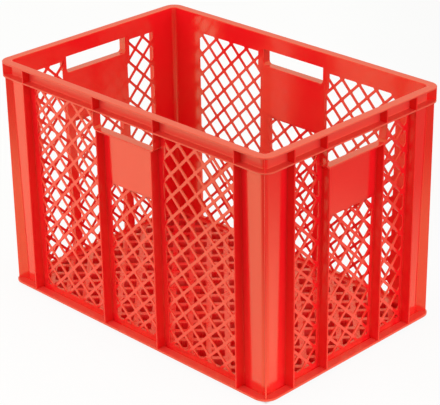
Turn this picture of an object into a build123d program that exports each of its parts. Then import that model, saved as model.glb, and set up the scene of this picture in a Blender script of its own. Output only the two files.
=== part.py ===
from build123d import *
import math
import os
from collections import namedtuple

# Perforated stacking crate, in millimetres. X runs along the long walls, Y along the short walls
# and Z is up. The origin is the middle of the footprint, on the surface that the crate stands on.
# Depth is measured inwards from the outer plane, which the rim, the fins and the base flange share.

# Outer box
LENGTH = 600.0
WIDTH = 400.0
HEIGHT = 405.0

# Thickness of the moulded features
WALL = 2.0
FIN = 3.0
LIP = 3.0
RIM_FLANGE = 2.7
BASE = 3.5
FLOOR = 4.5
COLLAR = 2.5

# Depth of the wall skin behind the outer plane: the walls lean in towards the base
RECESS_RIM = 13.5
RECESS_BASE = 17.5

# Rim channel, base flange, and the stacking foot: the wall skin goes on down through the flange and
# drops inside the rim of a crate below
RIM = 26.0
RIM_OUTER_RADIUS = 20.5
INNER_RADIUS = 8.0
BASE_RADIUS = 23.5
FOOT_HEIGHT = 5.0

# Corner posts: legs from the outer plane to the corner fin, and the diagonal bead on the edge, which
# keeps one depth behind both outer planes
POST_LONG_LEG = 63.4
POST_SHORT_LEG = 61.8
BEAD = 3.0
BEAD_DEPTH = 8.3

# Hand hole: clear width and height, corner radius, smooth plate under the ledge,
# and how far inside the clear edge the handle fins stand
HOLE_WIDTH = 133.0
HOLE_HEIGHT = 29.0
HOLE_RADIUS = 6.0
PLATE_HEIGHT = 91.0
FIN_TUCK = 4.5

# Wall lattice: half the pitch of the diamonds, bar width, solid bands above and below, and how far
# the crossings stand above the foot of the smooth plate
HALF_PITCH = 18.0
BAR = 4.8
TOP_BAND = 7.0
FOOT_BAND = 8.5
LATTICE_RISE = 2.5

# On the front wall the left and middle panels have the pattern moved along, and the left one also up
LEFT_SHIFT = 7.0
LEFT_RISE = 5.5
MIDDLE_SHIFT = -4.0

# Solid border of the lattice, from the middle of the neighbouring rib
LONG_BORDER = 12.0
LONG_CORNER_BORDER = 14.6
SHORT_BORDER = 8.0
SHORT_CORNER_BORDER = 7.2

# Floor lattice: it stands above the base flange by FLOOR, and its deep bars stop short of the ground
FLOOR_HALF_PITCH = 21.0
FLOOR_BAR = 9.0
FLOOR_BORDER = 7.0
GROUND_GAP = 0.5

# Openings that the border would leave smaller than this are moulded shut, in square millimetres
SMALLEST_OPENING = 25.0

# Heights and distances that follow
base_top = FOOT_HEIGHT + BASE
floor_top = base_top + FLOOR
rim_depth = RECESS_RIM + WALL
base_depth = RECESS_BASE + WALL
mitre_depth = base_depth + INNER_RADIUS
rim_underside = HEIGHT - RIM
rim_flange_top = rim_underside + RIM_FLANGE
lip_underside = HEIGHT - LIP
sill = rim_underside - HOLE_HEIGHT
sill_underside = sill - COLLAR
plate_foot = sill - PLATE_HEIGHT
middle_grille_top = plate_foot + TOP_BAND
lattice_top = rim_underside - TOP_BAND
lattice_foot = base_top + FOOT_BAND
lattice_row = plate_foot + HALF_PITCH + LATTICE_RISE
outer_radius = INNER_RADIUS + WALL
corner_middle = WALL / 2 + (INNER_RADIUS + WALL / 2) * (1 - math.sqrt(0.5))
jamb = (HOLE_WIDTH + COLLAR) / 2
collar_half = HOLE_WIDTH / 2 + COLLAR
collar_radius = HOLE_RADIUS + COLLAR
handle_fin = HOLE_WIDTH / 2 - FIN_TUCK

# Each wall is built facing -Y and then turned into place. Its reach is the distance from the
# middle of the crate to its outer plane, and u runs along it, to the right as seen from outside.
Wall = namedtuple("Wall", "name turn reach corner_fin border corner_border")
LONG = dict(
    reach=WIDTH / 2,
    corner_fin=LENGTH / 2 - POST_LONG_LEG,
    border=LONG_BORDER,
    corner_border=LONG_CORNER_BORDER,
)
SHORT = dict(
    reach=LENGTH / 2,
    corner_fin=WIDTH / 2 - POST_SHORT_LEG,
    border=SHORT_BORDER,
    corner_border=SHORT_CORNER_BORDER,
)
WALLS = [
    Wall(name="front", turn=0, **LONG),
    Wall(name="right", turn=90, **SHORT),
    Wall(name="back", turn=180, **LONG),
    Wall(name="left", turn=270, **SHORT),
]


def recess(z):
    """Depth of the outer face of the wall skin at height z, constant inside the rim."""
    lean = (RECESS_BASE - RECESS_RIM) / (rim_underside - base_top)
    return RECESS_RIM + lean * max(0.0, rim_underside - z)


# Lattice openings, as outlines in (u, z) or (x, y)

def trimmed(outline, axis, limit, side):
    """The part of a convex outline above (side 1) or below (side -1) a limit along one axis."""
    kept = []
    for k, point in enumerate(outline):
        before = outline[k - 1]
        here = side * (point[axis] - limit)
        there = side * (before[axis] - limit)
        if here * there < 0:
            share = there / (there - here)
            kept.append(tuple(a + share * (b - a) for a, b in zip(before, point)))
        if here >= 0:
            kept.append(point)
    return kept


def area(outline):
    """Area of an outline, by the shoelace rule."""
    pairs = zip(outline, outline[1:] + outline[:1])
    return abs(sum(a[0] * b[1] - b[0] * a[1] for a, b in pairs)) / 2


def diamonds(zone, half_pitch, bar, centre, rows=(-math.inf, math.inf)):
    """Diamond openings of a lattice, trimmed to a zone.

    One opening has its middle at centre and the others follow at half_pitch, like one colour of a
    chessboard. Only openings whose middle lies within rows are made.
    """
    u0, u1, z0, z1 = zone
    half = half_pitch - bar / math.sqrt(2)
    first_u = math.floor((u0 - centre[0]) / half_pitch) - 1
    last_u = math.ceil((u1 - centre[0]) / half_pitch) + 1
    first_z = math.floor((z0 - centre[1]) / half_pitch) - 1
    last_z = math.ceil((z1 - centre[1]) / half_pitch) + 1
    outlines = []
    for i in range(first_u, last_u + 1):
        for j in range(first_z, last_z + 1):
            u = centre[0] + i * half_pitch
            z = centre[1] + j * half_pitch
            if (i + j) % 2 or not rows[0] <= z < rows[1]:
                continue
            outline = [(u + half, z), (u, z + half), (u - half, z), (u, z - half)]
            for axis, limit, side in ((0, u0, 1), (0, u1, -1), (1, z0, 1), (1, z1, -1)):
                outline = trimmed(outline, axis, limit, side)
            if len(outline) > 2 and area(outline) > SMALLEST_OPENING:
                outlines.append(outline)
    return outlines


# Pieces of one wall, facing -Y

def skin(wall, zone, openings=()):
    """Sheet of the wall skin over a zone (u0, u1, z0, z1), with openings through it."""

    def on_wall(outline):
        return Wire.make_polygon([(u, recess(z) - wall.reach, z) for u, z in outline])

    u0, u1, z0, z1 = zone
    edge = on_wall([(u0, z0), (u1, z0), (u1, z1), (u0, z1)])
    sheet = Face(edge, [on_wall(outline) for outline in openings])
    return extrude(sheet, WALL, dir=(0, 1, 0))


def upright(wall, u, width, z0, z1, beyond=0.0):
    """Plate from the outer plane back to the wall skin, or beyond it, centred on u."""
    profile = [(0, z0), (0, z1), (recess(z1) + beyond, z1), (recess(z0) + beyond, z0)]
    corners = [(u - width / 2, depth - wall.reach, z) for depth, z in profile]
    return extrude(Face(Wire.make_polygon(corners)), width, dir=(1, 0, 0))


def hole_block(wall, half_width, foot, radius):
    """Block as deep as the wall, with the hand hole's rounded lower corners."""
    height = rim_underside - foot
    outline = Pos(0, foot + height / 2) * Rectangle(2 * half_width, height)
    outline = fillet(outline.vertices().group_by(Axis.Y)[0], radius)
    face = Pos(0, -wall.reach, 0) * (Plane.XZ * outline)
    return extrude(face, recess(0) + WALL, dir=(0, 1, 0))


def hand_hole_collar(wall):
    """Jambs and ledge round the hand hole, with the bit of skin outside its rounded corners."""
    outside = hole_block(wall, collar_half, sill_underside, collar_radius)
    inside = hole_block(wall, HOLE_WIDTH / 2, sill, HOLE_RADIUS)
    wall_depth = upright(wall, 0, 2 * collar_half, sill_underside, rim_underside, beyond=WALL)
    corner_zone = (-collar_half, collar_half, sill_underside, sill_underside + collar_radius)
    return (outside - inside) & wall_depth, skin(wall, corner_zone) - outside


def side_grille(wall, middle):
    """Lattice from the collar to the right-hand post, with a wider border beside the hand hole."""
    zone_end = wall.corner_fin - wall.corner_border
    below = (handle_fin + wall.border, zone_end, lattice_foot, lattice_top)
    beside = (jamb + wall.border, zone_end, lattice_foot, lattice_top)
    openings = diamonds(below, HALF_PITCH, BAR, middle, rows=(-math.inf, sill))
    openings += diamonds(beside, HALF_PITCH, BAR, middle, rows=(sill, math.inf))
    return skin(wall, (collar_half, wall.corner_fin, base_top, rim_underside), openings)


def middle_grille(wall, middle):
    """Lattice between the handle fins, under the handle plate."""
    half = handle_fin - wall.border
    zone = (-half, half, lattice_foot, plate_foot)
    openings = diamonds(zone, HALF_PITCH, BAR, middle)
    return skin(wall, (-collar_half, collar_half, base_top, middle_grille_top), openings)


def handle_plate(wall):
    """Smooth plate from the middle grille up to the hand hole's ledge."""
    return skin(wall, (-collar_half, collar_half, middle_grille_top, sill_underside))


def handle_fin_right(wall):
    """Fin from the base flange up to the underside of the hand hole's collar."""
    fin = upright(wall, handle_fin, FIN, base_top, sill_underside + collar_radius)
    return fin - hole_block(wall, collar_half, sill_underside, collar_radius)


def rim_ribs(wall):
    """Ribs across the rim channel, over the corner fins and the jambs."""
    places = (-wall.corner_fin, -jamb, jamb, wall.corner_fin)
    thickness = (FIN, COLLAR, COLLAR, FIN)
    ribs = [upright(wall, u, t, rim_flange_top, lip_underside) for u, t in zip(places, thickness)]
    return Compound([rib.solid() for rib in ribs])


# Pieces that run round the crate

def frame(outer_depth, inner_depth, outer_round, inner_round, z0, z1):
    """Closed rectangular frame between two depths, with round corners."""

    def rectangle(depth, radius):
        return RectangleRounded(LENGTH - 2 * depth, WIDTH - 2 * depth, radius)

    outline = rectangle(outer_depth, outer_round) - rectangle(inner_depth, inner_round)
    return Pos(0, 0, z0) * extrude(outline, z1 - z0)


def mitre(wall):
    """Prism over one wall's share of a frame, cut at 45 degrees at both corners."""
    half = LENGTH / 2 if wall.reach == WIDTH / 2 else WIDTH / 2
    corners = [
        (-half, -wall.reach),
        (half, -wall.reach),
        (half - mitre_depth, mitre_depth - wall.reach),
        (mitre_depth - half, mitre_depth - wall.reach),
    ]
    return Rot(0, 0, wall.turn) * extrude(Face(Wire.make_polygon(corners_at(corners, 0))), HEIGHT)


def corners_at(corners, z):
    """Plan points lifted to a height."""
    return [(x, y, z) for x, y in corners]


def at_corner(places, z):
    """Plan points given as depths behind the right and the front outer planes, at a height."""
    return [(LENGTH / 2 - p, q - WIDTH / 2, z) for p, q in places]


def post_outline(depth):
    """Plan of the front right post, where its skin stands at a depth."""
    inner = depth + WALL
    return [
        (POST_LONG_LEG, depth),
        (depth, depth),
        (depth, POST_SHORT_LEG),
        (inner, POST_SHORT_LEG),
        (inner, inner),
        (POST_LONG_LEG, inner),
    ]


def bead_outline(depth, tip=BEAD_DEPTH):
    """Plan of the diagonal bead, from the depth of its outer edge to the middle of the skin."""
    nose = BEAD / 2 / math.sqrt(2)
    root = depth + corner_middle
    return [
        (tip + nose, tip - nose),
        (tip - nose, tip + nose),
        (root - nose, root + nose),
        (root + nose, root - nose),
    ]


def leaning(outline):
    """Solid between an outline at the base flange and the same outline under the rim."""
    foot = Face(Wire.make_polygon(at_corner(outline(RECESS_BASE), base_top)))
    head = Face(Wire.make_polygon(at_corner(outline(RECESS_RIM), rim_underside)))
    return loft([foot, head], ruled=True)


def corner_post():
    """Front right post, leaning in to the base, with a round corner and its bead."""
    post = leaning(post_outline)
    middle = (RECESS_BASE + RECESS_RIM) / 2
    for depth, radius in ((middle + WALL, INNER_RADIUS), (middle, outer_radius)):
        corner = at_corner([(depth, depth)], (base_top + rim_underside) / 2)[0]
        post = fillet(post.edges().sort_by_distance(corner)[:1], radius)
    return post + leaning(bead_outline)


def rim_bead():
    """Bead across the rim channel at the front right corner, flush with the lip above it."""
    face = Face(Wire.make_polygon(at_corner(bead_outline(RECESS_RIM, tip=0), rim_flange_top)))
    bead = extrude(face, lip_underside - rim_flange_top, dir=(0, 0, 1))
    return bead & frame(0, RECESS_RIM, RIM_OUTER_RADIUS, outer_radius, rim_flange_top, lip_underside)


def four_corners(shape):
    """A shape at the front right corner and its copies at the other three."""
    back_right = mirror(shape, about=Plane.XZ)
    return {
        "front_right": shape,
        "front_left": mirror(shape, about=Plane.YZ),
        "back_right": back_right,
        "back_left": mirror(back_right, about=Plane.YZ),
    }


def floor_grid():
    """Lattice floor, held between the wall skins and the stacking foot."""
    half_x = LENGTH / 2 - base_depth
    half_y = WIDTH / 2 - base_depth
    zone = (FLOOR_BORDER - half_x, half_x - FLOOR_BORDER, FLOOR_BORDER - half_y, half_y - FLOOR_BORDER)
    openings = diamonds(zone, FLOOR_HALF_PITCH, FLOOR_BAR, (0, 0))
    outline = Pos(0, 0, GROUND_GAP) * RectangleRounded(2 * half_x, 2 * half_y, INNER_RADIUS)
    holes = [Wire.make_polygon(corners_at(hole, GROUND_GAP)) for hole in openings]
    return extrude(Face(outline.face().outer_wire(), holes), floor_top - GROUND_GAP, dir=(0, 0, 1))


nodes = {}

rim = frame(0, rim_depth, RIM_OUTER_RADIUS, INNER_RADIUS, lip_underside, HEIGHT)
rim += frame(RECESS_RIM, rim_depth, outer_radius, INNER_RADIUS, rim_underside, lip_underside)
rim += frame(0, RECESS_RIM, RIM_OUTER_RADIUS, outer_radius, rim_underside, rim_flange_top)
base = frame(0, RECESS_BASE, BASE_RADIUS, outer_radius, FOOT_HEIGHT, base_top)
foot = frame(RECESS_BASE, base_depth, outer_radius, INNER_RADIUS, 0, base_top)

for wall in WALLS:
    nodes[f"rim_{wall.name}"] = rim & mitre(wall)
    nodes[f"base_flange_{wall.name}"] = base & mitre(wall)
    nodes[f"stacking_foot_{wall.name}"] = foot & mitre(wall)
    collar, collar_skin = hand_hole_collar(wall)
    right_hand = {
        "grille": side_grille(wall, (0, lattice_row)),
        "corner_fin": upright(wall, wall.corner_fin, FIN, base_top, rim_underside),
        "handle_fin": handle_fin_right(wall),
    }
    pieces = {
        "rim_ribs": rim_ribs(wall),
        "hand_hole_collar": collar + collar_skin,
        "handle_plate": handle_plate(wall),
        "middle_grille": middle_grille(wall, (0, lattice_row)),
    }
    for kind, shape in right_hand.items():
        pieces[f"right_{kind}"] = shape
        pieces[f"left_{kind}"] = mirror(shape, about=Plane.YZ)
    if wall.name == "front":
        pieces["middle_grille"] = middle_grille(wall, (MIDDLE_SHIFT, lattice_row))
        moved = side_grille(wall, (-LEFT_SHIFT, lattice_row + LEFT_RISE))
        pieces["left_grille"] = mirror(moved, about=Plane.YZ)
    for kind, shape in pieces.items():
        nodes[f"{kind}_{wall.name}"] = Rot(0, 0, wall.turn) * shape

for place, post in four_corners(corner_post()).items():
    nodes[f"corner_post_{place}"] = post
nodes["rim_corner_beads"] = Compound([bead.solid() for bead in four_corners(rim_bead()).values()])
nodes["floor_grid"] = floor_grid()

os.makedirs("parts", exist_ok=True)
for name, shape in nodes.items():
    export_step(shape, f"parts/{name}.step")
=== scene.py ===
import math
import bmesh
import bpy
from mathutils import Matrix, Vector


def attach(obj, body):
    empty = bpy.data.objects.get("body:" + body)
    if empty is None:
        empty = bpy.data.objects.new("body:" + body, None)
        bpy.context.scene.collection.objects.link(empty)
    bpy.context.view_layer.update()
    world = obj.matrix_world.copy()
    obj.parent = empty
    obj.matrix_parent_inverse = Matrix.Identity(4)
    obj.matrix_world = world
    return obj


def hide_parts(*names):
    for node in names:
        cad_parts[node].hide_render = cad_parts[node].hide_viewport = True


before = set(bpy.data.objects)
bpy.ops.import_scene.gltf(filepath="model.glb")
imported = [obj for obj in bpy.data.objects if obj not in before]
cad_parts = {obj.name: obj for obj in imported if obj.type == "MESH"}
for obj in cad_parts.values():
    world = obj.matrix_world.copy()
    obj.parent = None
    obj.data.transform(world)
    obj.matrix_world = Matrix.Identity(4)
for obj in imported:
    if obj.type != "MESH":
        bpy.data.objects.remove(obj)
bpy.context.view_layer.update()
scene = bpy.context.scene
scene.view_settings.view_transform = "Standard"
mm = 0.001  # sizes below are written in millimetres
print("frame loaded:", len(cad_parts), "nodes")


# the moulding's main sizes; depth runs inwards from the outer plane of rim, fins and base flange
crate = {
    "length": 600.0,
    "width": 400.0,
    "height": 405.0,
    "wall": 2.0,
    "recessRim": 13.5,  # depth of the wall skin under the rim
    "recessBase": 17.5,  # and at the base
    "cornerRound": 10.0,  # radius of its outer face at the corners
    "rim": 26.0,  # height of the rim channel
    "foot": 5.0,  # height of the base flange's underside
    "base": 8.5,  # and of its top
}
rimUnderside = crate["height"] - crate["rim"]
lean = (crate["recessBase"] - crate["recessRim"]) / (rimUnderside - crate["base"])

hole = {
    "width": 133.0,
    "height": 29.0,
    "radius": 6.0,
    "collar": 2.5,
    "lipRound": 1.0,
    "lipSteps": 3,
    "arcSteps": 6,
    "finInset": 4.5,  # the handle fins stand this far inside the jambs
    "plateDrop": 91.0,  # from the sill to the lower edge of the smooth handle plate
}
sill = rimUnderside - hole["height"]
sillUnderside = sill - hole["collar"]
collarHalf = hole["width"] / 2 + hole["collar"]
jamb = (hole["width"] + hole["collar"]) / 2
handleFin = hole["width"] / 2 - hole["finInset"]
plateFoot = sill - hole["plateDrop"]

# each wall is made facing -Y and turned into place; u runs along it, to the right from outside
# reach is its outer plane's distance from the middle, the borders are plain strips round its lattice
longWall = {
    "half": crate["length"] / 2, "reach": crate["width"] / 2,
    "cornerFin": 236.6, "border": 12.0, "cornerBorder": 14.6,
}
shortWall = {
    "half": crate["width"] / 2, "reach": crate["length"] / 2,
    "cornerFin": 138.2, "border": 8.0, "cornerBorder": 7.2,
}
walls = [
    {"name": "front", "turn": 0, **longWall},
    {"name": "right", "turn": 90, **shortWall},
    {"name": "back", "turn": 180, **longWall},
    {"name": "left", "turn": 270, **shortWall},
]


def recess(z):
    return crate["recessRim"] + lean * max(0.0, rimUnderside - z)


def wallTurn(wall):
    return Matrix.Rotation(math.radians(wall["turn"]), 4, "Z")


# a shader group's outputs vary over the surface; the shaders themselves stay in the materials
def newGroup(name, inputs, outputs):
    group = bpy.data.node_groups.new(name, "ShaderNodeTree")
    for label, kind, value in inputs:
        socket = group.interface.new_socket(label, in_out="INPUT", socket_type=kind)
        socket.default_value = value
    for label, kind in outputs:
        group.interface.new_socket(label, in_out="OUTPUT", socket_type=kind)
    return group, group.nodes.new("NodeGroupInput"), group.nodes.new("NodeGroupOutput")


# one maths node, in a shader tree or a geometry tree
def mathNode(tree, operation, *values):
    node = tree.nodes.new("ShaderNodeMath")
    node.operation = operation
    for slot, value in zip(node.inputs, values):
        if isinstance(value, (int, float)):
            slot.default_value = value
        else:
            tree.links.new(value, slot)
    return node.outputs[0]


def shaderNoise(tree, vector, scale, detail, roughness=0.5):
    node = tree.nodes.new("ShaderNodeTexNoise")
    node.inputs["Scale"].default_value = scale
    node.inputs["Detail"].default_value = detail
    node.inputs["Roughness"].default_value = roughness
    tree.links.new(vector, node.inputs["Vector"])
    return node.outputs["Fac"]


def shaderRange(tree, value, low, high, toLow, toHigh):
    node = tree.nodes.new("ShaderNodeMapRange")
    node.inputs["From Min"].default_value = low
    node.inputs["From Max"].default_value = high
    node.inputs["To Min"].default_value = toLow
    node.inputs["To Max"].default_value = toHigh
    tree.links.new(value, node.inputs["Value"])
    return node.outputs["Result"]


mouldedSkin = {
    "mottleScale": 9.0,
    "mottleDetail": 3.0,
    "lineScale": 420.0,
    "lineStretch": (1.0, 1.0, 0.12),  # drawn out along the draw of the mould
    "peelScale": 260.0,
    "fineDetail": 2.0,
    "span": (0.3, 0.7),  # the part of the noise that is used
    "lineRoughness": (-0.025, 0.035),
    "mottleRoughness": (-0.02, 0.03),
    "lineHeight": 0.25,  # against the peel
}


# slow mottling of the pigment, the fine orange peel of the mould and its polishing lines
def buildMouldedSkin():
    group, entry, leave = newGroup(
        "mouldedSkin",
        [("Base Roughness", "NodeSocketFloat", 0.2), ("Peel", "NodeSocketFloat", 1.0)],
        [("Mottle", "NodeSocketFloat"), ("Roughness", "NodeSocketFloat"), ("Height", "NodeSocketFloat")],
    )
    place = group.nodes.new("ShaderNodeTexCoord").outputs["Object"]
    slow = shaderNoise(group, place, mouldedSkin["mottleScale"], mouldedSkin["mottleDetail"])
    streak = group.nodes.new("ShaderNodeMapping")
    streak.inputs["Scale"].default_value = mouldedSkin["lineStretch"]
    group.links.new(place, streak.inputs["Vector"])
    fine = mouldedSkin["fineDetail"]
    lines = shaderNoise(group, streak.outputs["Vector"], mouldedSkin["lineScale"], fine)
    peel = shaderNoise(group, place, mouldedSkin["peelScale"], fine)
    group.links.new(slow, leave.inputs["Mottle"])
    ripple = shaderRange(group, lines, *mouldedSkin["span"], *mouldedSkin["lineRoughness"])
    cloud = shaderRange(group, slow, *mouldedSkin["span"], *mouldedSkin["mottleRoughness"])
    rough = mathNode(group, "ADD", entry.outputs["Base Roughness"], mathNode(group, "ADD", ripple, cloud))
    group.links.new(rough, leave.inputs["Roughness"])
    height = mathNode(group, "ADD", mathNode(group, "MULTIPLY", peel, entry.outputs["Peel"]),
                      mathNode(group, "MULTIPLY", lines, mouldedSkin["lineHeight"]))
    group.links.new(height, leave.inputs["Height"])
    return group


handling = {
    "dragTurn": (0.0, 0.0, 0.4),  # the hairs run across the crate at a slant
    "dragStretch": (1.0, 0.06, 1.0),
    "hairScale": 900.0, "hairDetail": 3.0, "hairRoughness": 0.6, "hairSpan": (0.62, 0.74),
    "patchScale": 24.0, "patchDetail": 2.0, "patchSpan": (0.45, 0.7),
    "speckScale": 60.0, "speckDetail": 4.0, "speckRoughness": 0.7, "speckSpan": (0.4, 0.75),
    "dustHeight": 50.0,
}


# faint rubbing where crates slide on each other, and a breath of dust low down
def buildHandling():
    group, entry, leave = newGroup(
        "handlingMarks",
        [("Rub", "NodeSocketFloat", 0.3), ("Dust", "NodeSocketFloat", 0.1)],
        [("Rub Mask", "NodeSocketFloat"), ("Dust Mask", "NodeSocketFloat")],
    )
    place = group.nodes.new("ShaderNodeTexCoord").outputs["Object"]
    drag = group.nodes.new("ShaderNodeMapping")
    drag.inputs["Rotation"].default_value = handling["dragTurn"]
    drag.inputs["Scale"].default_value = handling["dragStretch"]
    group.links.new(place, drag.inputs["Vector"])
    hairs = shaderNoise(group, drag.outputs["Vector"], handling["hairScale"], handling["hairDetail"],
                        handling["hairRoughness"])
    patches = shaderNoise(group, place, handling["patchScale"], handling["patchDetail"])
    rub = mathNode(group, "MULTIPLY", shaderRange(group, hairs, *handling["hairSpan"], 0.0, 1.0),
                   shaderRange(group, patches, *handling["patchSpan"], 0.0, 1.0))
    group.links.new(mathNode(group, "MULTIPLY", rub, entry.outputs["Rub"]), leave.inputs["Rub Mask"])
    split = group.nodes.new("ShaderNodeSeparateXYZ")
    group.links.new(place, split.inputs[0])
    low = shaderRange(group, split.outputs["Z"], 0.0, handling["dustHeight"] * mm, 1.0, 0.0)
    specks = shaderNoise(group, place, handling["speckScale"], handling["speckDetail"],
                         handling["speckRoughness"])
    specks = shaderRange(group, specks, *handling["speckSpan"], 0.0, 1.0)
    dust = mathNode(group, "MULTIPLY", mathNode(group, "MULTIPLY", low, specks), entry.outputs["Dust"])
    group.links.new(dust, leave.inputs["Dust Mask"])
    return group


chafeAndSheen = {"fullTo": 13.8, "noneFrom": 15.0}  # depths behind the outer plane; the inner face is spared


# the outer side of rim and base flange, where neighbouring crates chafe; its paler colour there is partly a
# painted sheen
def buildChafeAndSheen():
    group, entry, leave = newGroup(
        "chafedEdgeAndSheen",
        [("Half Length", "NodeSocketFloat", crate["length"] / 2 * mm),
         ("Half Width", "NodeSocketFloat", crate["width"] / 2 * mm),
         ("Full To", "NodeSocketFloat", chafeAndSheen["fullTo"] * mm),
         ("None From", "NodeSocketFloat", chafeAndSheen["noneFrom"] * mm)],
        [("Chafe And Sheen Mask", "NodeSocketFloat")],
    )
    split = group.nodes.new("ShaderNodeSeparateXYZ")
    group.links.new(group.nodes.new("ShaderNodeTexCoord").outputs["Object"], split.inputs[0])
    depths = []
    for axis, half in (("X", "Half Length"), ("Y", "Half Width")):
        reach = mathNode(group, "ABSOLUTE", split.outputs[axis])
        depths.append(mathNode(group, "SUBTRACT", entry.outputs[half], reach))
    fade = group.nodes.new("ShaderNodeMapRange")
    group.links.new(mathNode(group, "MINIMUM", *depths), fade.inputs["Value"])
    group.links.new(entry.outputs["Full To"], fade.inputs["From Min"])
    group.links.new(entry.outputs["None From"], fade.inputs["From Max"])
    fade.inputs["To Min"].default_value = 1.0
    fade.inputs["To Max"].default_value = 0.0
    group.links.new(fade.outputs["Result"], leave.inputs["Chafe And Sheen Mask"])
    return group


skinGroup = buildMouldedSkin()
handlingGroup = buildHandling()
chafeAndSheenGroup = buildChafeAndSheen()

redFinish = {
    "deep": (0.92, 0.004, 0.014, 1.0),  # pigment, linear
    "light": (0.95, 0.007, 0.017, 1.0),
    "rubbed": (0.90, 0.12, 0.09, 1.0),
    "rubbedRoughness": 0.3,  # added to the skin's own
    # partly chafing, partly a painted sheen: the paler red stands in for the whiter reflection on the rim's
    # outer side
    "chafedAndSheen": (0.87, 0.052, 0.052, 1.0),
    "chafedRoughness": 0.25,
    "chafedCoat": 0.22,
    "dust": (0.75, 0.55, 0.47, 1.0),
    "dustRoughness": 0.4,
    "sheen": (1.0, 1.0, 0.35, 1.0),  # the skin's own reflection is warmer than the clear gloss on it
    "refraction": 1.9,
    "gloss": 0.5,
    "coat": 0.48,
    "coatRoughness": 0.08,
    "bumpStrength": 0.35,
    "bumpDepth": 0.12,
}


def mixColour(tree, factor, a, b):
    node = tree.nodes.new("ShaderNodeMix")
    node.data_type = "RGBA"
    tree.links.new(factor, node.inputs[0])
    for slot, value in ((node.inputs[6], a), (node.inputs[7], b)):
        if isinstance(value, tuple):
            slot.default_value = value
        else:
            tree.links.new(value, slot)
    return node.outputs[2]


def redPlastic(name, roughness, peel, rub, dust, coat=redFinish["coat"], gloss=redFinish["gloss"],
               chafedAndSheen=False):
    material = bpy.data.materials.new(name)
    material.use_nodes = True
    tree = material.node_tree
    shader = tree.nodes["Principled BSDF"]
    skin = tree.nodes.new("ShaderNodeGroup")
    skin.node_tree = skinGroup
    skin.inputs["Base Roughness"].default_value = roughness
    skin.inputs["Peel"].default_value = peel
    marks = tree.nodes.new("ShaderNodeGroup")
    marks.node_tree = handlingGroup
    marks.inputs["Rub"].default_value = rub
    marks.inputs["Dust"].default_value = dust
    mottle = shaderRange(tree, skin.outputs["Mottle"], *mouldedSkin["span"], 0.0, 1.0)
    colour = mixColour(tree, mottle, redFinish["deep"], redFinish["light"])
    colour = mixColour(tree, marks.outputs["Rub Mask"], colour, redFinish["rubbed"])
    colour = mixColour(tree, marks.outputs["Dust Mask"], colour, redFinish["dust"])
    rubbed = mathNode(tree, "MULTIPLY", marks.outputs["Rub Mask"], redFinish["rubbedRoughness"])
    rough = mathNode(tree, "ADD", skin.outputs["Roughness"], rubbed)
    dusty = mathNode(tree, "MULTIPLY", marks.outputs["Dust Mask"], redFinish["dustRoughness"])
    rough = mathNode(tree, "ADD", rough, dusty)
    shader.inputs["Coat Weight"].default_value = coat
    if chafedAndSheen:
        edge = tree.nodes.new("ShaderNodeGroup")
        edge.node_tree = chafeAndSheenGroup
        mask = edge.outputs["Chafe And Sheen Mask"]
        # the chafed side is rougher, and its paler colour is partly a painted sheen
        colour = mixColour(tree, mask, colour, redFinish["chafedAndSheen"])
        rough = mathNode(tree, "ADD", rough, mathNode(tree, "MULTIPLY", mask, redFinish["chafedRoughness"]))
        worn = shaderRange(tree, mask, 0.0, 1.0, coat, redFinish["chafedCoat"])
        tree.links.new(worn, shader.inputs["Coat Weight"])
    tree.links.new(colour, shader.inputs["Base Color"])
    tree.links.new(rough, shader.inputs["Roughness"])
    bump = tree.nodes.new("ShaderNodeBump")
    bump.inputs["Strength"].default_value = redFinish["bumpStrength"]
    bump.inputs["Distance"].default_value = redFinish["bumpDepth"] * mm
    tree.links.new(skin.outputs["Height"], bump.inputs["Height"])
    tree.links.new(bump.outputs["Normal"], shader.inputs["Normal"])
    shader.inputs["IOR"].default_value = redFinish["refraction"]
    shader.inputs["Specular IOR Level"].default_value = gloss
    shader.inputs["Specular Tint"].default_value = redFinish["sheen"]
    shader.inputs["Coat Roughness"].default_value = redFinish["coatRoughness"]
    return material


finishes = {
    "wall": redPlastic("redWallSkin", roughness=0.17, peel=0.8, rub=0.05, dust=0.06),
    "rib": redPlastic("redRibs", roughness=0.32, peel=0.6, rub=0.12, dust=0.06, coat=0.12, gloss=0.3),
    "rim": redPlastic("redRim", roughness=0.17, peel=0.9, rub=0.25, dust=0.0, chafedAndSheen=True),
    "floor": redPlastic("redFloor", roughness=0.26, peel=1.0, rub=0.20, dust=0.25),
}
print("finishes made:", ", ".join(finishes))


# polyline with its corners rounded; each point is (x, y, radius)
def roundCorners(points, steps=4):
    done = []
    for k, (x, y, radius) in enumerate(points):
        here = Vector((x, y))
        if radius <= 0:
            done.append((x, y))
            continue
        before = (Vector(points[k - 1][:2]) - here).normalized()
        after = (Vector(points[(k + 1) % len(points)][:2]) - here).normalized()
        bend = before.angle(after)
        start = here + before * (radius / math.tan(bend / 2))
        middle = here + (before + after).normalized() * (radius / math.sin(bend / 2))
        spoke = start - middle
        sweep = math.copysign(math.pi - bend, before.cross(after) * -1.0)
        for step in range(steps + 1):
            angle = sweep * step / steps
            c, s = math.cos(angle), math.sin(angle)
            done.append((middle.x + c * spoke.x - s * spoke.y, middle.y + s * spoke.x + c * spoke.y))
    return done


# closed tube through rings of equal length, with both ends capped
def tubeMesh(name, rings):
    mesh = bpy.data.meshes.new(name)
    count = len(rings[0])
    points = [Vector(p) * mm for ring in rings for p in ring]
    faces = []
    for r in range(len(rings) - 1):
        for k in range(count):
            n = (k + 1) % count
            faces.append((r * count + k, r * count + n, (r + 1) * count + n, (r + 1) * count + k))
    faces.append(tuple(range(count)))
    faces.append(tuple(range(len(rings) * count - 1, (len(rings) - 1) * count - 1, -1)))
    mesh.from_pydata(points, [], faces)
    return mesh


def joinMeshes(name, meshes):
    work = bmesh.new()
    for mesh in meshes:
        work.from_mesh(mesh)
        bpy.data.meshes.remove(mesh)
    joined = bpy.data.meshes.new(name)
    work.to_mesh(joined)
    work.free()
    return joined


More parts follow.
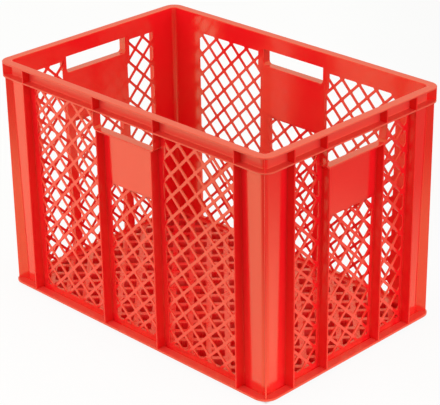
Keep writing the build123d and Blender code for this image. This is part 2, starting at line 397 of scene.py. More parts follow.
cleaning = {"weld": 0.002, "sliver": 0.001, "smoothAngle": 38.0}  # the last in degrees


def plainMesh(piece):
    bpy.context.view_layer.update()
    return bpy.data.meshes.new_from_object(piece.evaluated_get(bpy.context.evaluated_depsgraph_get()))


# merges doubles, turns faces outwards, smooths rounded edges and settles the piece in the frame
def settle(name, mesh, finish, *nodes):
    work = bmesh.new()
    work.from_mesh(mesh)
    bmesh.ops.remove_doubles(work, verts=work.verts, dist=cleaning["weld"] * mm)
    bmesh.ops.dissolve_degenerate(work, dist=cleaning["sliver"] * mm, edges=work.edges)
    bmesh.ops.recalc_face_normals(work, faces=work.faces)
    work.to_mesh(mesh)
    work.free()
    mesh.shade_smooth()
    mesh.set_sharp_from_angle(angle=math.radians(cleaning["smoothAngle"]))
    piece = bpy.data.objects.new(name, mesh)
    scene.collection.objects.link(piece)
    even = piece.modifiers.new("evenShading", "WEIGHTED_NORMAL")
    even.keep_sharp = True
    final = plainMesh(piece)
    final.name = name
    piece.modifiers.clear()
    piece.data = final
    piece.data.materials.clear()
    piece.data.materials.append(finishes[finish])
    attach(piece, "root")
    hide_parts(*nodes)


# a piece that every wall has: turned into place and named after its wall
def settleOnWall(wall, name, mesh, finish, node):
    mesh.transform(wallTurn(wall))
    settle(f"{name}.{wall['name']}", mesh, finish, f"{node}_{wall['name']}")


# one geometry node; a link is named after its socket, with _ for a space
def geoNode(tree, kind, settings=None, **links):
    node = tree.nodes.new(kind)
    for label, value in (settings or {}).items():
        setattr(node, label, value)
    for label, value in links.items():
        slot = node.inputs[label.replace("_", " ")]
        if hasattr(value, "is_output"):
            tree.links.new(value, slot)
        else:
            slot.default_value = value
    return node


def wholeNumber(tree, value):
    return geoNode(tree, "FunctionNodeFloatToInt", {"rounding_mode": "ROUND"}, Float=value).outputs[0]


lattice = {
    "cornerSteps": 2,
    "openingPoints": 36,
    "edgeSteps": 2,
    "weld": 0.004,
    "level": 0.01,  # an edge that rises less than this lies in a face of the panel
    "fold": 0.7,  # radians; a flatter edge is not rounded
    "margin": 0.05,  # nor is one this close to the panel's outline
}


# a flat panel with diamond openings, for the walls and the floor
def buildLattice():
    tree = bpy.data.node_groups.new("diamondLattice", "GeometryNodeTree")
    tree.is_modifier = True
    names = ["Panel Left", "Panel Right", "Panel Foot", "Panel Head", "Zone Left", "Zone Right", "Zone Foot",
             "Zone Head", "Upper Zone Left", "Upper From", "Middle U", "Middle V", "Half Pitch", "Bar",
             "Thickness", "Corner Round", "Smallest"]
    for label in names:
        tree.interface.new_socket(label, in_out="INPUT", socket_type="NodeSocketFloat")
    tree.interface.new_socket("Material", in_out="INPUT", socket_type="NodeSocketMaterial")
    tree.interface.new_socket("Geometry", in_out="OUTPUT", socket_type="NodeSocketGeometry")
    entry = tree.nodes.new("NodeGroupInput").outputs
    leave = tree.nodes.new("NodeGroupOutput")
    pitch = entry["Half Pitch"]
    half = mathNode(tree, "SUBTRACT", pitch, mathNode(tree, "DIVIDE", entry["Bar"], math.sqrt(2)))

    def inPitches(value, middle):
        return mathNode(tree, "DIVIDE", mathNode(tree, "SUBTRACT", value, middle), pitch)

    # chessboard of opening middles, a little larger than the zone
    def span(low, high, middle):
        first = mathNode(tree, "SUBTRACT", mathNode(tree, "FLOOR", inPitches(low, middle)), 1.0)
        last = mathNode(tree, "ADD", mathNode(tree, "CEIL", inPitches(high, middle)), 1.0)
        steps = mathNode(tree, "SUBTRACT", last, first)
        centre = mathNode(tree, "MULTIPLY", mathNode(tree, "ADD", first, last), 0.5)
        centre = mathNode(tree, "MULTIPLY_ADD", centre, pitch, middle)
        size = mathNode(tree, "MULTIPLY", steps, pitch)
        return size, wholeNumber(tree, mathNode(tree, "ADD", steps, 1.0)), centre

    sizeU, countU, centreU = span(entry["Zone Left"], entry["Zone Right"], entry["Middle U"])
    sizeV, countV, centreV = span(entry["Zone Foot"], entry["Zone Head"], entry["Middle V"])
    board = geoNode(tree, "GeometryNodeMeshGrid", Size_X=sizeU, Size_Y=sizeV,
                    Vertices_X=countU, Vertices_Y=countV)
    shift = geoNode(tree, "ShaderNodeCombineXYZ", X=centreU, Y=centreV)
    board = geoNode(tree, "GeometryNodeSetPosition", Geometry=board.outputs["Mesh"], Offset=shift.outputs[0])
    position = tree.nodes.new("GeometryNodeInputPosition").outputs[0]
    place = geoNode(tree, "ShaderNodeSeparateXYZ", Vector=position)
    u, v = place.outputs["X"], place.outputs["Y"]
    column = mathNode(tree, "ROUND", inPitches(u, entry["Middle U"]))
    row = mathNode(tree, "ROUND", inPitches(v, entry["Middle V"]))
    odd = mathNode(tree, "FLOORED_MODULO", mathNode(tree, "ADD", column, row), 2.0)

    # rows beside the hand hole start further out
    upper = mathNode(tree, "GREATER_THAN", v, entry["Upper From"])
    further = mathNode(tree, "SUBTRACT", entry["Upper Zone Left"], entry["Zone Left"])
    start = mathNode(tree, "MULTIPLY_ADD", upper, further, entry["Zone Left"])
    missU = mathNode(tree, "MAXIMUM", mathNode(tree, "SUBTRACT", start, u),
                     mathNode(tree, "SUBTRACT", u, entry["Zone Right"]))
    missV = mathNode(tree, "MAXIMUM", mathNode(tree, "SUBTRACT", entry["Zone Foot"], v),
                     mathNode(tree, "SUBTRACT", v, entry["Zone Head"]))
    miss = mathNode(tree, "ADD", mathNode(tree, "MAXIMUM", missU, 0.0),
                    mathNode(tree, "MAXIMUM", missV, 0.0))
    shut = mathNode(tree, "GREATER_THAN", miss, mathNode(tree, "SUBTRACT", half, entry["Smallest"]))
    drop = mathNode(tree, "MAXIMUM", mathNode(tree, "GREATER_THAN", odd, 0.5), shut)
    marked = geoNode(tree, "GeometryNodeStoreNamedAttribute", {"data_type": "FLOAT", "domain": "POINT"},
                     Geometry=board.outputs[0], Name="rowStart", Value=start)
    kept = geoNode(tree, "GeometryNodeDeleteGeometry", {"domain": "POINT"},
                   Geometry=marked.outputs[0], Selection=drop)

    # one opening, then all of them, pressed flat against the zone's edges
    diamond = geoNode(tree, "GeometryNodeCurvePrimitiveCircle", {"mode": "RADIUS"}, Resolution=4, Radius=half)
    diamond = geoNode(tree, "GeometryNodeFilletCurve", {"mode": "POLY"}, Curve=diamond.outputs[0],
                      Count=lattice["cornerSteps"], Radius=entry["Corner Round"])
    diamond = geoNode(tree, "GeometryNodeResampleCurve", {"mode": "COUNT"}, Curve=diamond.outputs[0],
                      Count=lattice["openingPoints"])
    holes = geoNode(tree, "GeometryNodeInstanceOnPoints", Points=kept.outputs[0], Instance=diamond.outputs[0])
    holes = geoNode(tree, "GeometryNodeRealizeInstances", Geometry=holes.outputs[0])
    rowStart = geoNode(tree, "GeometryNodeInputNamedAttribute", {"data_type": "FLOAT"}, Name="rowStart")
    pressedU = mathNode(tree, "MAXIMUM", u, rowStart.outputs[0])
    pressedU = mathNode(tree, "MINIMUM", pressedU, entry["Zone Right"])
    pressedV = mathNode(tree, "MAXIMUM", v, entry["Zone Foot"])
    pressedV = mathNode(tree, "MINIMUM", pressedV, entry["Zone Head"])
    pressed = geoNode(tree, "ShaderNodeCombineXYZ", X=pressedU, Y=pressedV)
    holes = geoNode(tree, "GeometryNodeSetPosition", Geometry=holes.outputs[0], Position=pressed.outputs[0])

    # panel outline with the openings, filled and given its thickness
    panelW = mathNode(tree, "SUBTRACT", entry["Panel Right"], entry["Panel Left"])
    panelH = mathNode(tree, "SUBTRACT", entry["Panel Head"], entry["Panel Foot"])
    midU = mathNode(tree, "MULTIPLY", mathNode(tree, "ADD", entry["Panel Right"], entry["Panel Left"]), 0.5)
    midV = mathNode(tree, "MULTIPLY", mathNode(tree, "ADD", entry["Panel Head"], entry["Panel Foot"]), 0.5)
    outline = geoNode(tree, "GeometryNodeCurvePrimitiveQuadrilateral", {"mode": "RECTANGLE"},
                      Width=panelW, Height=panelH)
    shift = geoNode(tree, "ShaderNodeCombineXYZ", X=midU, Y=midV)
    outline = geoNode(tree, "GeometryNodeSetPosition", Geometry=outline.outputs[0], Offset=shift.outputs[0])
    curves = tree.nodes.new("GeometryNodeJoinGeometry")
    tree.links.new(outline.outputs[0], curves.inputs[0])
    tree.links.new(holes.outputs[0], curves.inputs[0])
    sheet = geoNode(tree, "GeometryNodeFillCurve", {"mode": "TRIANGLES"}, Curve=curves.outputs[0])
    rise = geoNode(tree, "ShaderNodeCombineXYZ", Z=entry["Thickness"])
    thick = geoNode(tree, "GeometryNodeExtrudeMesh", {"mode": "FACES"}, Mesh=sheet.outputs[0],
                    Offset=rise.outputs[0], Offset_Scale=1.0, Individual=False)
    under = geoNode(tree, "GeometryNodeFlipFaces", Mesh=sheet.outputs[0])
    whole = tree.nodes.new("GeometryNodeJoinGeometry")
    tree.links.new(thick.outputs[0], whole.inputs[0])
    tree.links.new(under.outputs[0], whole.inputs[0])
    whole = geoNode(tree, "GeometryNodeMergeByDistance", Geometry=whole.outputs[0],
                    Distance=lattice["weld"] * mm)

    # only the rims of the openings are rounded later: the panel's own edge runs on into its neighbours
    ends = tree.nodes.new("GeometryNodeInputMeshEdgeVertices").outputs
    one = geoNode(tree, "ShaderNodeSeparateXYZ", Vector=ends["Position 1"]).outputs["Z"]
    two = geoNode(tree, "ShaderNodeSeparateXYZ", Vector=ends["Position 2"]).outputs["Z"]
    climb = mathNode(tree, "ABSOLUTE", mathNode(tree, "SUBTRACT", one, two))
    level = mathNode(tree, "LESS_THAN", climb, lattice["level"] * mm)
    fold = tree.nodes.new("GeometryNodeInputMeshEdgeAngle").outputs[0]
    sharp = mathNode(tree, "GREATER_THAN", fold, lattice["fold"])
    fromU = mathNode(tree, "ABSOLUTE", mathNode(tree, "SUBTRACT", u, midU))
    fromV = mathNode(tree, "ABSOLUTE", mathNode(tree, "SUBTRACT", v, midV))
    overU = mathNode(tree, "MULTIPLY_ADD", panelW, -0.5, fromU)
    overV = mathNode(tree, "MULTIPLY_ADD", panelH, -0.5, fromV)
    inner = mathNode(tree, "LESS_THAN", mathNode(tree, "MAXIMUM", overU, overV), -lattice["margin"] * mm)
    weight = mathNode(tree, "MULTIPLY", mathNode(tree, "MULTIPLY", level, sharp), inner)
    whole = geoNode(tree, "GeometryNodeStoreNamedAttribute", {"data_type": "FLOAT", "domain": "EDGE"},
                    Geometry=whole.outputs[0], Name="bevel_weight_edge", Value=weight)
    whole = geoNode(tree, "GeometryNodeRealizeInstances", Geometry=whole.outputs[0])
    whole = geoNode(tree, "GeometryNodeSetMaterial", Geometry=whole.outputs[0], Material=entry["Material"])
    tree.links.new(whole.outputs[0], leave.inputs[0])
    return tree


# two ribs side by side, made from the one in the middle
def buildRibPair():
    tree = bpy.data.node_groups.new("ribPair", "GeometryNodeTree")
    tree.is_modifier = True
    tree.interface.new_socket("Rib", in_out="INPUT", socket_type="NodeSocketGeometry")
    tree.interface.new_socket("Half Spacing", in_out="INPUT", socket_type="NodeSocketFloat")
    tree.interface.new_socket("Material", in_out="INPUT", socket_type="NodeSocketMaterial")
    tree.interface.new_socket("Geometry", in_out="OUTPUT", socket_type="NodeSocketGeometry")
    entry = tree.nodes.new("NodeGroupInput").outputs
    leave = tree.nodes.new("NodeGroupOutput")
    start = geoNode(tree, "ShaderNodeCombineXYZ", X=mathNode(tree, "MULTIPLY", entry["Half Spacing"], -1.0))
    step = geoNode(tree, "ShaderNodeCombineXYZ", X=mathNode(tree, "MULTIPLY", entry["Half Spacing"], 2.0))
    places = geoNode(tree, "GeometryNodeMeshLine", {"mode": "OFFSET"}, Count=2,
                     Start_Location=start.outputs[0], Offset=step.outputs[0])
    pair = geoNode(tree, "GeometryNodeInstanceOnPoints", Points=places.outputs[0], Instance=entry["Rib"])
    pair = geoNode(tree, "GeometryNodeRealizeInstances", Geometry=pair.outputs[0])
    pair = geoNode(tree, "GeometryNodeSetMaterial", Geometry=pair.outputs[0], Material=entry["Material"])
    tree.links.new(pair.outputs[0], leave.inputs[0])
    return tree


latticeTree = buildLattice()
ribPairTree = buildRibPair()


# runs a tree on a scratch object and keeps the result as a plain mesh
def treeMesh(tree, source, values, finish, edgeRound=0.0):
    scratch = bpy.data.objects.new(source.name, source)
    scene.collection.objects.link(scratch)
    nodes = scratch.modifiers.new(tree.name, "NODES")
    nodes.node_group = tree
    sockets = {s.name: s.identifier for s in tree.interface.items_tree if s.in_out == "INPUT"}
    for label, value in values.items():
        nodes[sockets[label]] = value * mm
    nodes[sockets["Material"]] = finishes[finish]
    if edgeRound > 0:
        soften = scratch.modifiers.new("softEdge", "BEVEL")
        soften.limit_method = "WEIGHT"
        soften.width = edgeRound * mm
        soften.segments = lattice["edgeSteps"]
        soften.use_clamp_overlap = False
    mesh = plainMesh(scratch)
    bpy.data.objects.remove(scratch)
    bpy.data.meshes.remove(source)
    return mesh


def latticeMesh(name, values, finish, edgeRound):
    return treeMesh(latticeTree, bpy.data.meshes.new(name), values, finish, edgeRound)


# takes a panel drawn in (u, z, depth behind the skin) on to a leaning wall
def ontoWall(wall, mirrored=False):
    side = -1.0 if mirrored else 1.0
    groundDepth = (crate["recessRim"] + lean * rimUnderside - wall["reach"]) * mm
    place = Matrix(((side, 0, 0, 0), (0, -lean, 1, groundDepth), (0, 1, 0, 0), (0, 0, 0, 1)))
    return wallTurn(wall) @ place


grille = {
    "halfPitch": 18.0,
    "bar": 4.8,
    "topBand": 7.0,
    "footBand": 8.5,
    "rise": 2.5,  # the crossings stand this far above the foot of the handle plate
    "leftShift": 7.0,  # on the front wall the left panel's pattern is moved along
    "leftRise": 5.5,  # and up
    "middleShift": -4.0,  # and the middle one's along
    "cornerRound": 1.2,
    "edgeRound": 0.45,
    "smallest": 5.0,  # an opening cut shallower than this is moulded shut
}
latticeFoot = crate["base"] + grille["footBand"]
latticeHead = rimUnderside - grille["topBand"]
middleHead = plateFoot + grille["topBand"]


def grilleValues(panel, zone, upperLeft, upperFrom, along=0.0, up=0.0):
    return {
        "Panel Left": panel[0], "Panel Right": panel[1], "Panel Foot": panel[2], "Panel Head": panel[3],
        "Zone Left": zone[0], "Zone Right": zone[1], "Zone Foot": zone[2], "Zone Head": zone[3],
        "Upper Zone Left": upperLeft, "Upper From": upperFrom,
        "Middle U": along, "Middle V": plateFoot + grille["halfPitch"] + grille["rise"] + up,
        "Half Pitch": grille["halfPitch"], "Bar": grille["bar"], "Thickness": crate["wall"],
        "Corner Round": grille["cornerRound"], "Smallest": grille["smallest"],
    }


# the left panel is drawn as a right one and mirrored on to its wall
def addGrilles(wall):
    outer = wall["cornerFin"] - wall["cornerBorder"]
    side = {
        "panel": (collarHalf, wall["cornerFin"], crate["base"], rimUnderside),
        "zone": (handleFin + wall["border"], outer, latticeFoot, latticeHead),
        "upperLeft": jamb + wall["border"], "upperFrom": sill,
    }
    inner = handleFin - wall["border"]
    middle = {
        "panel": (-collarHalf, collarHalf, crate["base"], middleHead),
        "zone": (-inner, inner, latticeFoot, plateFoot),
        "upperLeft": -inner, "upperFrom": crate["height"],
    }
    panels = {"right": side, "left": side, "middle": middle}
    if wall["name"] == "front":
        panels["left"] = {**side, "along": -grille["leftShift"], "up": grille["leftRise"]}
        panels["middle"] = {**middle, "along": grille["middleShift"]}
    for label, layout in panels.items():
        mesh = latticeMesh(f"{label}Grille", grilleValues(**layout), "wall", grille["edgeRound"])
        mesh.transform(ontoWall(wall, mirrored=label == "left"))
        settle(f"{label}Grille.{wall['name']}", mesh, "wall", f"{label}_grille_{wall['name']}")


for wall in walls:
    addGrilles(wall)
print("wall grilles made")

floorGrid = {
    "halfPitch": 21.0,
    "bar": 9.0,
    "border": 7.0,
    "top": 13.0,
    "foot": 0.5,  # its deep bars stop short of the ground
    "cornerRound": 1.5,
    "edgeRound": 0.7,
    "smallest": 5.0,
}


def addFloor():
    edge = crate["recessBase"] + crate["wall"]
    halfX = crate["length"] / 2 - edge
    halfY = crate["width"] / 2 - edge
    values = {
        "Panel Left": -halfX, "Panel Right": halfX, "Panel Foot": -halfY, "Panel Head": halfY,
        "Zone Left": floorGrid["border"] - halfX, "Zone Right": halfX - floorGrid["border"],
        "Zone Foot": floorGrid["border"] - halfY, "Zone Head": halfY - floorGrid["border"],
        "Upper Zone Left": floorGrid["border"] - halfX, "Upper From": halfY,
        "Middle U": 0.0, "Middle V": 0.0, "Half Pitch": floorGrid["halfPitch"], "Bar": floorGrid["bar"],
        "Thickness": floorGrid["top"] - floorGrid["foot"], "Corner Round": floorGrid["cornerRound"],
        "Smallest": floorGrid["smallest"],
    }
    mesh = latticeMesh("floorGrid", values, "floor", floorGrid["edgeRound"])
    mesh.transform(Matrix.Translation((0, 0, floorGrid["foot"] * mm)))
    settle("floorGrid", mesh, "floor", "floor_grid")


addFloor()
print("floor grid made")


# a rail follows the outline, half-way round the corner at each end, to the mitre
def railRings(wall, profile, outerRadius, skin, steps=6):
    rings = []
    for side, first in ((-1, 225.0), (1, 270.0)):
        for step in range(steps + 1):
            angle = math.radians(first + 45.0 * step / steps)
            ring = []
            for depth, z in profile:
                share = min(depth / skin, 1.0)
                radius = outerRadius + (crate["cornerRound"] - outerRadius) * share - max(depth - skin, 0.0)
                x = side * (wall["half"] - depth - radius) + radius * math.cos(angle)
                y = depth + radius - wall["reach"] + radius * math.sin(angle)
                ring.append((x, y, z))
            rings.append(ring)
    return rings


rimShape = {"lip": 3.0, "flange": 2.7, "outerRadius": 20.5, "noseRound": 1.2, "hollowRound": 1.5}
channelFoot = rimUnderside + rimShape["flange"]
channelHead = crate["height"] - rimShape["lip"]
baseShape = {"outerRadius": 23.5, "topRound": 1.3, "footRound": 0.6}
footShape = {"round": 0.6}


def addRails(wall):
    top = crate["height"]
    skin = crate["recessRim"]
    nose, hollow = rimShape["noseRound"], rimShape["hollowRound"]
    channel = roundCorners([
        (0.0, top, nose), (0.0, channelHead, nose), (skin, channelHead, hollow), (skin, channelFoot, hollow),
        (0.0, channelFoot, nose), (0.0, rimUnderside, nose), (skin + crate["wall"], rimUnderside, 0.0),
        (skin + crate["wall"], top, nose)])
    rim = tubeMesh("rim", railRings(wall, channel, rimShape["outerRadius"], skin))
    settleOnWall(wall, "rim", rim, "rim", "rim")
    skinFoot = crate["recessBase"]
    ledge = roundCorners([
        (0.0, crate["foot"], baseShape["footRound"]), (0.0, crate["base"], baseShape["topRound"]),
        (skinFoot, crate["base"], 0.0), (skinFoot, crate["foot"], 0.0)])
    base = tubeMesh("base", railRings(wall, ledge, baseShape["outerRadius"], skinFoot))
    settleOnWall(wall, "baseFlange", base, "rim", "base_flange")
    skirt = roundCorners([
        (skinFoot, 0.0, footShape["round"]), (skinFoot, crate["base"], 0.0),
        (skinFoot + crate["wall"], crate["base"], 0.0), (skinFoot + crate["wall"], 0.0, footShape["round"])])
    foot = tubeMesh("foot", railRings(wall, skirt, baseShape["outerRadius"], skinFoot))
    settleOnWall(wall, "stackingFoot", foot, "rim", "stacking_foot")


for wall in walls:
    addRails(wall)
print("rim and base rails made")


# upright fins with a round nose and a small fillet at the wall
fin = {
    "thick": 3.0,
    "nose": 1.0,
    "fillet": 0.3,
    "arcSteps": 3,
    "rootSink": 0.05,  # the feet of the fillets go this far into the wall
    "ledgeSink": 0.6,  # and the heads of the handle fins into the hand hole's ledge
}


def finSection(u, thick, root):
    half, flare, nose = thick / 2, fin["fillet"], fin["nose"]
    sunk = root + fin["rootSink"]
    return roundCorners([
        (u - half - flare, sunk, 0.0), (u - half, root, flare), (u - half, 0.0, nose),
        (u + half, 0.0, nose), (u + half, root, flare), (u + half + flare, sunk, 0.0)], fin["arcSteps"])


def finMesh(wall, u, thick, foot, head):
    rings = []
    for z in (foot, head):
        rings.append([(x, depth - wall["reach"], z) for x, depth in finSection(u, thick, recess(z))])
    return tubeMesh("fin", rings)


def addFins(wall):
    heads = {"corner": rimUnderside, "handle": sillUnderside + fin["ledgeSink"]}
    places = {"corner": wall["cornerFin"], "handle": handleFin}
    for side, label in ((-1, "left"), (1, "right")):
        for kind, head in heads.items():
            mesh = finMesh(wall, side * places[kind], fin["thick"], crate["base"], head)
            settleOnWall(wall, f"{label}{kind.capitalize()}Fin", mesh, "rib", f"{label}_{kind}_fin")


for wall in walls:
    addFins(wall)
print("fins made")


# collar of the hand hole: two jambs and a ledge, swept round its lower corners
def collarRings(wall):
    clear, turn = hole["width"] / 2, hole["radius"]
    path = [(-clear, rimUnderside, -1.0, 0.0)]
    for side, first in ((-1, 180.0), (1, 270.0)):
        for step in range(hole["arcSteps"] + 1):
            angle = math.radians(first + 90.0 * step / hole["arcSteps"])
            c, s = math.cos(angle), math.sin(angle)
            path.append((side * (clear - turn) + turn * c, sill + turn + turn * s, c, s))
    path.append((clear, rimUnderside, 1.0, 0.0))
    rings = []
    for u, z, outU, outZ in path:
        back = recess(z) + crate["wall"]
        section = roundCorners([
            (0.0, 0.0, hole["lipRound"]), (hole["collar"], 0.0, hole["lipRound"]),
            (hole["collar"], back, 0.0), (0.0, back, hole["lipRound"])], hole["lipSteps"])
        rings.append([(u + outU * n, d - wall["reach"], z + outZ * n) for n, d in section])
    return rings


# the skin outside the collar's rounded corner
def spandrel(wall, side):
    turn = hole["radius"] + hole["collar"]
    middle = (collarHalf - turn, sillUnderside + turn)
    outline = [(collarHalf, sillUnderside)]
    for step in range(hole["arcSteps"] + 1):
        angle = math.radians(270.0 + 90.0 * step / hole["arcSteps"])
        outline.insert(0, (middle[0] + turn * math.cos(angle), middle[1] + turn * math.sin(angle)))
    rings = []
    for depth in (0.0, crate["wall"]):
        rings.append([(side * u, recess(z) + depth - wall["reach"], z) for u, z in outline])
    return tubeMesh("spandrel", rings)


def addCollar(wall):
    frameMesh = tubeMesh("collar", collarRings(wall))
    mesh = joinMeshes("collar", [frameMesh, spandrel(wall, -1), spandrel(wall, 1)])
    settleOnWall(wall, "handHoleCollar", mesh, "wall", "hand_hole_collar")


for wall in walls:
    addCollar(wall)
print("hand holes made")


# corner posts with the bead on their edge, and the short beads in the rim channel
post = {
    "longLeg": 63.4, "shortLeg": 61.8,
    "bead": 3.0,  # thickness of the diagonal bead
    "beadDepth": 8.3,  # depth of its outer edge behind both outer planes
    "beadRound": 1.3,
    "beadSink": 1.0,  # a bead in the rim goes this far into the web
    "innerRound": 8.0,
    "arcSteps": 4,
}


# outline across a corner, as distances from both outer planes; tip is the bead's outer edge
def postSection(depth, tip, whole=True):
    inner = depth + crate["wall"]
    radius = crate["cornerRound"]
    nose = post["bead"] / 2 / math.sqrt(2)
    bead = [(tip + nose, tip - nose, post["beadRound"]), (tip - nose, tip + nose, post["beadRound"])]
    rootAngle = math.asin(post["bead"] / 2 / radius)

    def onArc(angle, reach=radius):
        turn = math.pi / 4 - angle
        return (depth + radius - reach * math.sin(turn), depth + radius - reach * math.cos(turn), 0.0)

    if not whole:
        root = onArc(0.0, radius - post["beadSink"])
        return roundCorners([onArc(rootAngle)] + bead + [onArc(-rootAngle), root])
    steps = post["arcSteps"]
    arc = [math.pi / 4 + (rootAngle - math.pi / 4) * step / steps for step in range(steps + 1)]
    longSide = [(post["longLeg"], depth, 0.0)] + [onArc(angle) for angle in arc]
    shortSide = [onArc(-angle) for angle in reversed(arc)] + [(depth, post["shortLeg"], 0.0)]
    inside = [(inner, post["shortLeg"], 0.0), (inner, inner, post["innerRound"]),
              (post["longLeg"], inner, 0.0)]
    return roundCorners(longSide + bead + shortSide + inside)


def cornerMesh(sections, signs):
    halfX, halfY = crate["length"] / 2, crate["width"] / 2
    rings = []
    for outline, z in sections:
        rings.append([(signs[0] * (halfX - p), signs[1] * (halfY - q), z) for p, q in outline])
    return tubeMesh("corner", rings)


corners = {"front_left": (-1, -1), "front_right": (1, -1), "back_left": (-1, 1), "back_right": (1, 1)}
flush = rimShape["outerRadius"] * (1 - math.sqrt(0.5))  # in the rim a bead reaches the round of the lip
postSections = [(postSection(recess(z), post["beadDepth"]), z) for z in (crate["base"], rimUnderside)]
beadSections = [(postSection(recess(z), flush, whole=False), z) for z in (channelFoot, channelHead)]
beadMeshes = []
for label, signs in corners.items():
    settle(f"cornerPost.{label}", cornerMesh(postSections, signs), "wall", f"corner_post_{label}")
    beadMeshes.append(cornerMesh(beadSections, signs))
settle("rimCornerBeads", joinMeshes("beads", beadMeshes), "rib", "rim_corner_beads")
print("corner posts made")


# ribs across the rim channel, a pair above the corner fins and a pair above the jambs
def addRimRibs(wall):
    pairs = []
    for u, thick in ((wall["cornerFin"], fin["thick"]), (jamb, hole["collar"])):
        rib = finMesh(wall, 0.0, thick, channelFoot, channelHead)
        pairs.append(treeMesh(ribPairTree, rib, {"Half Spacing": u}, "rib"))
    settleOnWall(wall, "rimRibs", joinMeshes("ribs", pairs), "rib", "rim_ribs")


for wall in walls:
    addRimRibs(wall)
    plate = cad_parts[f"handle_plate_{wall['name']}"]
    plate.data.materials.clear()
    plate.data.materials.append(finishes["wall"])
print("rim ribs made, handle plates dressed")


# camera at the photograph's angle
photoCamera = {
    "azimuth": 45.045, "elevation": 24.921, "roll": -0.855,  # degrees
    "focal": 139.45, "sensor": 36.0,  # millimetres
    "place": (1.80207, -1.79095, 1.35751),  # metres
}


def addCamera():
    data = bpy.data.cameras.new("photoCamera")
    data.sensor_width = photoCamera["sensor"]
    data.lens = photoCamera["focal"]
    eye = bpy.data.objects.new("photoCamera", data)
    turn = Matrix.Rotation(math.radians(photoCamera["azimuth"]), 4, "Z")
    turn = turn @ Matrix.Rotation(math.radians(90.0 - photoCamera["elevation"]), 4, "X")
    turn = turn @ Matrix.Rotation(math.radians(photoCamera["roll"]), 4, "Z")
    eye.matrix_world = Matrix.Translation(photoCamera["place"]) @ turn
    scene.collection.objects.link(eye)
    scene.camera = eye


addCamera()


# pale floor and soft studio light, in metres and watts
studio = {
    "floorSize": 30.0,
    "floorColour": (0.86, 0.86, 0.86, 1.0),
    "floorRoughness": 0.9,
    "paintedFarShade": (0.18, 0.18, 0.18, 1.0),  # painted shade: the paper darkens to the back right and to the front, standing in for the crate's shadow and the dimmer light on the camera's side
    "gradeRight": (0.25, 0.85),  # from the crate's middle towards the back right
    "gradeFront": (0.37, 0.75),  # and towards the camera
    "paintedUnderShade": (0.55, 0.035, 0.04, 1.0),  # painted red shade under the crate, where only red light comes through
    "shadeHalf": {"X": 0.283, "Y": 0.183},  # as far as the foot of the walls
    "shadeFade": 0.01,
    "whiteShare": 0.92,  # how far the floor is lifted to plain white where the camera sees it
    "mirrorShare": 0.26,  # and where the gloss of the crate mirrors it
    "airColour": (1.0, 0.98, 0.76, 1.0),
    "airFront": 0.68, "airBack": 0.74,  # the room is darker on the camera's side
    "airSpan": (-0.7, 0.7),  # from the one side to the other, along the view
}
lamps = {
    "keySoftbox": {"place": (-0.7, -2.2, 1.05), "aim": (-0.1, -0.3, 0.2), "size": (1.4, 1.2), "power": 19.0},
    "sideFill": {"place": (3.1, 0.45, 0.9), "aim": (0.3, 0.0, 0.2), "size": (1.6, 1.2), "power": 40.0},
    "topSoftbox": {"place": (0.1, -0.1, 4.0), "aim": (0.0, 0.0, 0.0), "size": (1.2, 1.0), "power": 23.0},
}


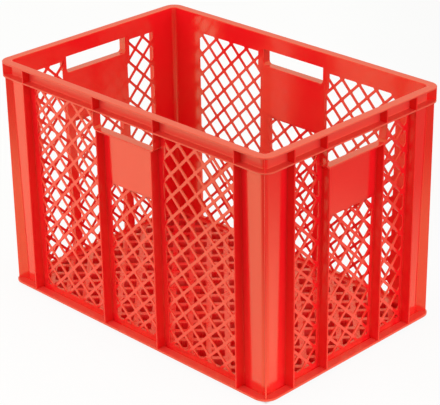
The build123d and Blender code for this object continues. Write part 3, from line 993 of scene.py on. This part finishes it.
def addFloorPlane():
    half = studio["floorSize"] / 2
    mesh = bpy.data.meshes.new("studioFloor")
    outline = [(-half, -half, 0), (half, -half, 0), (half, half, 0), (-half, half, 0)]
    mesh.from_pydata(outline, [], [(0, 1, 2, 3)])
    ground = bpy.data.objects.new("studioFloor", mesh)
    scene.collection.objects.link(ground)
    material = bpy.data.materials.new("paleFloor")
    material.use_nodes = True
    tree = material.node_tree
    paint = tree.nodes["Principled BSDF"]
    paint.inputs["Roughness"].default_value = studio["floorRoughness"]
    white = tree.nodes.new("ShaderNodeEmission")
    rays = tree.nodes.new("ShaderNodeLightPath")
    split = tree.nodes.new("ShaderNodeSeparateXYZ")
    tree.links.new(tree.nodes.new("ShaderNodeTexCoord").outputs["Object"], split.inputs[0])
    # painted shade on the paper, growing to the back right and towards the camera; the mirrored white lift
    # fades with it
    shadeGrades = []
    for operation, ends in (("ADD", studio["gradeRight"]), ("SUBTRACT", studio["gradeFront"])):
        away = mathNode(tree, operation, split.outputs["X"], split.outputs["Y"])
        away = mathNode(tree, "MULTIPLY", away, math.sqrt(0.5))
        shadeGrades.append(shaderRange(tree, away, *ends, 0.0, 1.0))
    shadeGrade = mathNode(tree, "MAXIMUM", *shadeGrades)
    shadedPaper = mixColour(tree, shadeGrade, studio["floorColour"], studio["paintedFarShade"])
    # the lift fades out under the crate, where the floor lies in its shade, and the paper there takes the
    # painted red shade
    off = []
    for axis, edge in studio["shadeHalf"].items():
        off.append(mathNode(tree, "SUBTRACT", mathNode(tree, "ABSOLUTE", split.outputs[axis]), edge))
    outside = shaderRange(tree, mathNode(tree, "MAXIMUM", *off), 0.0, studio["shadeFade"], 0.0, 1.0)
    tree.links.new(mixColour(tree, outside, studio["paintedUnderShade"], shadedPaper), paint.inputs["Base Color"])
    mirrored = shaderRange(tree, shadeGrade, 0.0, 1.0, studio["mirrorShare"], 0.0)
    seen = mathNode(tree, "MULTIPLY", rays.outputs["Is Camera Ray"], studio["whiteShare"])
    mirrored = mathNode(tree, "MULTIPLY", rays.outputs["Is Glossy Ray"], mirrored)
    lift = mathNode(tree, "MULTIPLY", outside, mathNode(tree, "MAXIMUM", seen, mirrored))
    mix = tree.nodes.new("ShaderNodeMixShader")
    tree.links.new(lift, mix.inputs[0])
    tree.links.new(paint.outputs[0], mix.inputs[1])
    tree.links.new(white.outputs[0], mix.inputs[2])
    tree.links.new(mix.outputs[0], tree.nodes["Material Output"].inputs["Surface"])
    mesh.materials.append(material)


def addLamps():
    for name, lamp in lamps.items():
        data = bpy.data.lights.new(name, "AREA")
        data.shape = "RECTANGLE"
        data.size, data.size_y = lamp["size"]
        data.energy = lamp["power"]
        box = bpy.data.objects.new(name, data)
        box.location = lamp["place"]
        aim = Vector(lamp["aim"]) - Vector(lamp["place"])
        box.rotation_euler = aim.to_track_quat("-Z", "Y").to_euler()
        box.visible_glossy = False
        scene.collection.objects.link(box)


def addAir():
    air = bpy.data.worlds.new("studioAir")
    air.use_nodes = True
    scene.world = air
    tree = air.node_tree
    glow = tree.nodes["Background"]
    glow.inputs["Color"].default_value = studio["airColour"]
    split = tree.nodes.new("ShaderNodeSeparateXYZ")
    tree.links.new(tree.nodes.new("ShaderNodeTexCoord").outputs["Generated"], split.inputs[0])
    back = mathNode(tree, "SUBTRACT", split.outputs["Y"], split.outputs["X"])
    back = mathNode(tree, "MULTIPLY", back, math.sqrt(0.5))
    strength = shaderRange(tree, back, *studio["airSpan"], studio["airFront"], studio["airBack"])
    tree.links.new(strength, glow.inputs["Strength"])


addFloorPlane()
addLamps()
addAir()
print("studio made")
